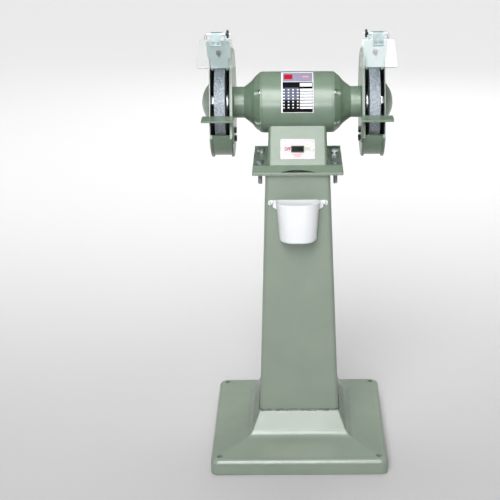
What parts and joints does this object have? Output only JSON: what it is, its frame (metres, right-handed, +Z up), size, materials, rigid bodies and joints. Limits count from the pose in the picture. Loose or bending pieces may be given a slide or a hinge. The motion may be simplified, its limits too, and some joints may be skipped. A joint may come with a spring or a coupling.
{
  "type": "pedestal grinder",
  "caption": "Double-ended bench grinder on a tapered floor pedestal, with guarded wheels, tool rests, eye shields, a rocker switch and a hanging water bucket.",
  "frame": {"origin": "centre of the square footprint, on the floor", "axes": "+X along the spindle to the operator's right, -Y towards the operator, +Z up"},
  "size_m": [0.452, 0.44, 1.0795],
  "materials": {
    "paint": "glossy grey-green enamel",
    "deflector_paint": "thin pale enamel",
    "bucket_plastic": "moulded white plastic",
    "black_steel": "blackened steel",
    "zinc_steel": "zinc plated",
    "machined_steel": "turned and ground",
    "black_plastic": "moulded black plastic",
    "capacitor_case": "moulded case",
    "plate_white": "white enamelled sheet",
    "rating_aluminium": "printed sheet",
    "core_steel": "stacked electrical steel",
    "copper": "enamelled copper wire",
    "abrasive": "bonded aluminium oxide grit",
    "blotter_paper": "compressed paper",
    "clear_pane": "clear polycarbonate"
  },
  "bodies": {
    "stand": {"base_pan": "paint", "column": "paint", "top_plate": "paint", "bucket_screws": "zinc_steel", "motor_foot": "paint", "foot_bolts": "black_steel", "foot_washers": "zinc_steel", "saddle_bolts": "black_steel", "cable_gland": "black_plastic", "run_capacitor": "capacitor_case", "switch_plate": "plate_white", "switch_plate_screws": "zinc_steel", "switch_body": "black_plastic", "motor_shell": "paint", "rating_plate": "rating_aluminium", "stator_core": "core_steel", "stator_windings": "copper", "end_shield_left": "paint", "end_shield_right": "paint", "end_shield_screws": "zinc_steel", "bearing_outer_left": "machined_steel", "bearing_outer_right": "machined_steel", "guard_casting_left": "paint", "guard_casting_right": "paint", "guard_cover_left": "paint", "guard_cover_right": "paint", "guard_bolts": "zinc_steel", "guard_cover_screws": "zinc_steel", "rest_bolts": "black_steel", "deflector_screws": "zinc_steel"},
    "rotor": {"bearing_inner_left": "machined_steel", "bearing_inner_right": "machined_steel", "bearing_balls": "machined_steel", "spindle_shaft": "machined_steel", "rotor_core": "core_steel", "inner_flange_left": "machined_steel", "inner_flange_right": "machined_steel", "wheel_blotters": "blotter_paper", "grinding_wheel_left": "abrasive", "grinding_wheel_right": "abrasive", "outer_flange_left": "machined_steel", "outer_flange_right": "machined_steel", "spindle_nut_left": "machined_steel", "spindle_nut_right": "machined_steel"},
    "rocker": {"switch_rocker": "black_plastic"},
    "bucket": {"water_bucket": "bucket_plastic"},
    "rest_left": {"tool_rest_left": "paint"},
    "deflector_left": {"spark_deflector_left": "deflector_paint"},
    "shield_left": {"shield_rod_left": "black_steel", "shield_clip_left": "zinc_steel", "shield_screws_left": "zinc_steel", "eye_shield_left": "clear_pane"},
    "wing_left": {"wing_nut_left": "black_steel"},
    "rest_right": {"tool_rest_right": "paint"},
    "deflector_right": {"spark_deflector_right": "deflector_paint"},
    "shield_right": {"shield_rod_right": "black_steel", "shield_clip_right": "zinc_steel", "shield_screws_right": "zinc_steel", "eye_shield_right": "clear_pane"},
    "wing_right": {"wing_nut_right": "black_steel"}
  },
  "joints": [
    {"name": "rotor_spin", "type": "hinge", "parent": "stand", "child": "rotor", "pos_m": [0, 0, 0.89], "axis": [1, 0, 0], "continuous": true},
    {"name": "rocker_tilt", "type": "hinge", "parent": "stand", "child": "rocker", "pos_m": [0, -0.07276, 0.79501], "axis": [0, 0.2433, 0.97], "range_deg": [0, 16]},
    {"name": "bucket_lift", "type": "slide", "parent": "stand", "child": "bucket", "axis": [0, 0.0365, 0.9993], "range_m": [0, 0.018]},
    {"name": "rest_slide_left", "type": "slide", "parent": "stand", "child": "rest_left", "axis": [0, -1, 0], "range_m": [-0.0015, 0.016]},
    {"name": "deflector_slide_left", "type": "slide", "parent": "stand", "child": "deflector_left", "axis": [0, -0.4226, 0.9063], "range_m": [-0.002, 0.012]},
    {"name": "shield_swing_left", "type": "hinge", "parent": "deflector_left", "child": "shield_left", "pos_m": [0, -0.08899, 1.06995], "axis": [-1, 0, 0], "range_deg": [-20, 95]},
    {"name": "wing_nut_turn_left", "type": "hinge", "parent": "shield_left", "child": "wing_left", "pos_m": [0, -0.08899, 1.06995], "axis": [1, 0, 0], "range_deg": [0, 180]},
    {"name": "rest_slide_right", "type": "slide", "parent": "stand", "child": "rest_right", "axis": [0, -1, 0], "range_m": [-0.0015, 0.016]},
    {"name": "deflector_slide_right", "type": "slide", "parent": "stand", "child": "deflector_right", "axis": [0, -0.4226, 0.9063], "range_m": [-0.002, 0.012]},
    {"name": "shield_swing_right", "type": "hinge", "parent": "deflector_right", "child": "shield_right", "pos_m": [0, -0.08899, 1.06995], "axis": [-1, 0, 0], "range_deg": [-20, 95]},
    {"name": "wing_nut_turn_right", "type": "hinge", "parent": "shield_right", "child": "wing_right", "pos_m": [0, -0.08899, 1.06995], "axis": [1, 0, 0], "range_deg": [0, 180]}
  ]
}
